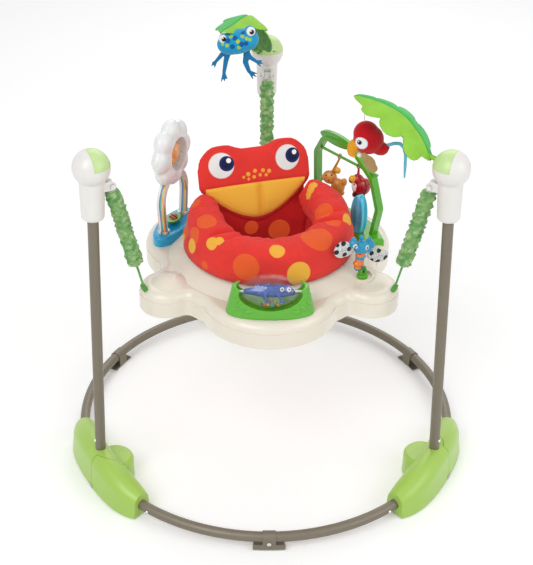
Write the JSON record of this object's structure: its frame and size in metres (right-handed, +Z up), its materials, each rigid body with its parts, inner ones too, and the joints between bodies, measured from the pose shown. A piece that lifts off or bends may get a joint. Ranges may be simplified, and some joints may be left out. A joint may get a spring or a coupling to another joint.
{
  "type": "baby jumper",
  "caption": "Baby jumper: padded turning seat in a toy tray, hung on sprung straps from three leaning posts on a floor ring.",
  "frame": {"origin": "centre of the floor ring, in the plane of the floor pads", "axes": "+Z up, +X to the right seen from the front, front towards -Y"},
  "size_m": [0.8386, 0.8479, 0.8321],
  "materials": {
    "tube_grey": "satin powder coat",
    "lime": "moulded, satin",
    "ivory": "moulded, gloss",
    "white": "moulded, gloss",
    "pale_green": "moulded",
    "green": "moulded",
    "blue": "moulded",
    "red": "moulded",
    "amber": "moulded",
    "yellow": "moulded",
    "clear": "clear moulding",
    "water": "tinted clear moulding",
    "steel": "plated",
    "grey_pad": "matt",
    "plate_white": "moulded",
    "green_cloth": "printed cotton",
    "strap_green": "woven webbing",
    "red_cloth": "woven, padded",
    "leaf_cloth": "stuffed plush",
    "blue_plush": "stuffed plush",
    "red_plush": "stuffed plush",
    "cord_white": "twisted cord",
    "amber_plush": "stuffed plush"
  },
  "bodies": {
    "frame": {"ring_tube_front": "tube_grey", "ring_tube_right": "tube_grey", "ring_tube_left": "tube_grey", "post_left": "tube_grey", "post_right": "tube_grey", "post_rear": "tube_grey", "foot_left": "lime", "foot_right": "lime", "foot_rear": "lime", "hub_left": "white", "hub_right": "white", "hub_rear": "white", "sleeve_left": "green_cloth", "sleeve_right": "green_cloth", "sleeve_rear": "green_cloth", "foot_knuckles": "lime", "foot_stubs": "tube_grey", "snap_buttons": "steel", "springs": "steel", "spring_plugs": "plate_white", "straps": "strap_green", "ring_saddles": "tube_grey", "floor_pads": "grey_pad", "frame_fasteners": "steel", "hub_caps": "pale_green", "leaf_right": "leaf_cloth", "leaf_rear": "leaf_cloth"},
    "tray": {"tray_top": "ivory", "tray_cover": "ivory", "tray_screws": "steel", "roller_cradle": "green", "sky_base": "blue", "rainbow_arch": "white", "cloud": "white", "cloud_window": "clear", "music_base": "green", "music_arch": "green", "waterfall": "water", "bug_stalk": "green"},
    "seat": {"seat_ring": "red", "seat_roll": "red_cloth", "seat_back": "red_cloth", "seat_sling": "red_cloth"},
    "roller": {"roller_shell_left": "clear", "roller_shell_right": "clear", "roller_axle": "white", "roller_lizard": "blue"},
    "sun": {"sun_spinner": "yellow"},
    "leaf_toy": {"leaf_spinner": "green"},
    "monkey": {"monkey": "amber"},
    "toucan": {"toucan": "red"},
    "button": {"push_button": "red"},
    "bug": {"bug_body": "blue", "bug_wings": "white"},
    "frog": {"frog_cord": "cord_white", "frog_body": "blue_plush", "frog_limbs": "blue_plush"},
    "parrot": {"parrot_cord": "cord_white", "parrot_body": "red_plush", "parrot_trim": "amber_plush"}
  },
  "joints": [
    {"name": "bounce", "type": "slide", "parent": "frame", "child": "tray", "axis": [0, 0, 1], "range_m": [-0.1, 0], "stiffness_N_per_m": 1000, "springref_m": 0.08, "deforming": ["springs", "spring_plugs", "straps", "sleeve_left", "sleeve_right", "sleeve_rear"]},
    {"name": "seat_turn", "type": "hinge", "parent": "tray", "child": "seat", "pos_m": [0, 0, 0.459], "axis": [0, 0, 1], "continuous": true},
    {"name": "roller_spin", "type": "hinge", "parent": "tray", "child": "roller", "pos_m": [0, -0.216, 0.477], "axis": [1, 0, 0], "continuous": true},
    {"name": "sun_spin", "type": "hinge", "parent": "tray", "child": "sun", "pos_m": [-0.19699, 0.08362, 0.616], "axis": [0.9205, -0.3907, 0], "continuous": true},
    {"name": "leaf_spin", "type": "hinge", "parent": "tray", "child": "leaf_toy", "pos_m": [-0.19699, 0.08362, 0.454], "axis": [0, 0, 1], "continuous": true},
    {"name": "monkey_swing", "type": "hinge", "parent": "tray", "child": "monkey", "pos_m": [0.16453, 0.11702, 0.582], "axis": [0.6281, -0.7781, 0], "range_deg": [-12, 12]},
    {"name": "toucan_swing", "type": "hinge", "parent": "tray", "child": "toucan", "pos_m": [0.16453, 0.11702, 0.582], "axis": [0.6281, -0.7781, 0], "range_deg": [-12, 12]},
    {"name": "button_press", "type": "slide", "parent": "tray", "child": "button", "axis": [0, 0, -1], "range_m": [0, 0.003], "stiffness_N_per_m": 600, "springref_m": -0.002},
    {"name": "bug_nod", "type": "hinge", "parent": "tray", "child": "bug", "pos_m": [0.184, -0.098, 0.452], "axis": [0.9063, 0.4226, 0], "range_deg": [-10, 10], "stiffness_Nm_per_rad": 0.6},
    {"name": "frog_swing", "type": "hinge", "parent": "frame", "child": "frog", "pos_m": [-0.08594, 0.22226, 0.81622], "axis": [0, 1, 0], "range_deg": [-20, 20]},
    {"name": "parrot_swing", "type": "hinge", "parent": "frame", "child": "parrot", "pos_m": [0.17001, -0.09481, 0.8076], "axis": [0, 1, 0], "range_deg": [-20, 20]}
  ]
}
